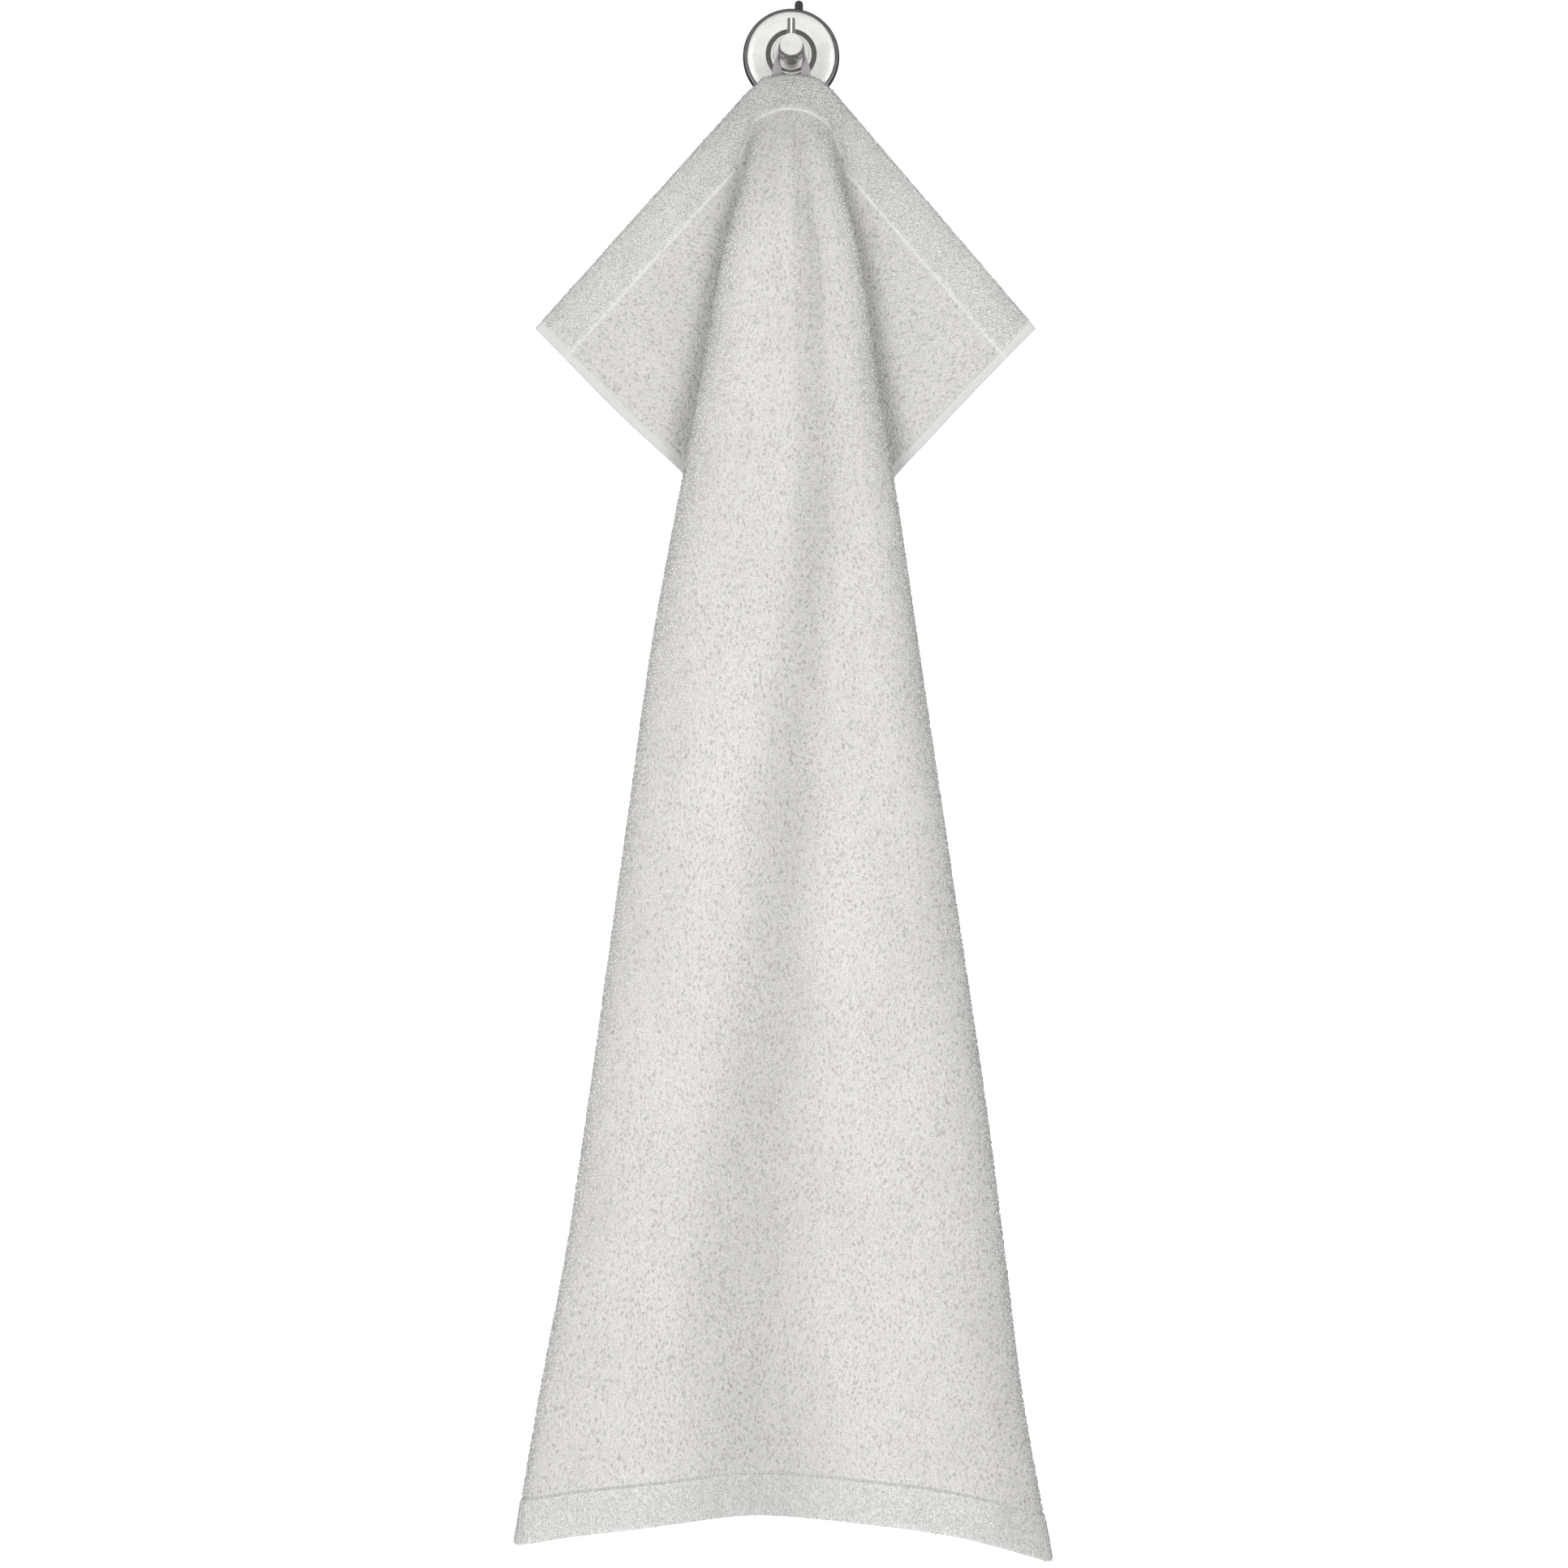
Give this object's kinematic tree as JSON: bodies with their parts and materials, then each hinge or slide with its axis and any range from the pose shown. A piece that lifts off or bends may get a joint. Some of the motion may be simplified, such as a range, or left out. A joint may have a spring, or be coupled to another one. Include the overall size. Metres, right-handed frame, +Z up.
{
  "type": "hand towel on a suction hook",
  "caption": "Terry hand towel hanging by its sewn tape loop from a round suction wall hook with a turned steel peg, its sides folded behind the front panel.",
  "frame": {"origin": "centre of the suction cup's flat back, where it meets the wall", "axes": "+Z up, +Y into the wall, +X to the right of someone facing the wall"},
  "size_m": [0.3736, 0.0643, 1.0839],
  "materials": {
    "terry": "pale warm grey cotton terry, looped pile, low pile on the hems",
    "loop_tape": "woven cotton tape, greyed lilac",
    "black_rubber": "matt moulded rubber",
    "brushed_steel": "circular brushed satin stainless steel",
    "polished_steel": "polished stainless steel"
  },
  "bodies": {
    "root": {"towel": "terry", "hanger_loop": "loop_tape", "suction_cup": "black_rubber", "cover_plate": "brushed_steel", "peg": "brushed_steel", "stop_pin": "polished_steel"}
  },
  "joints": []
}
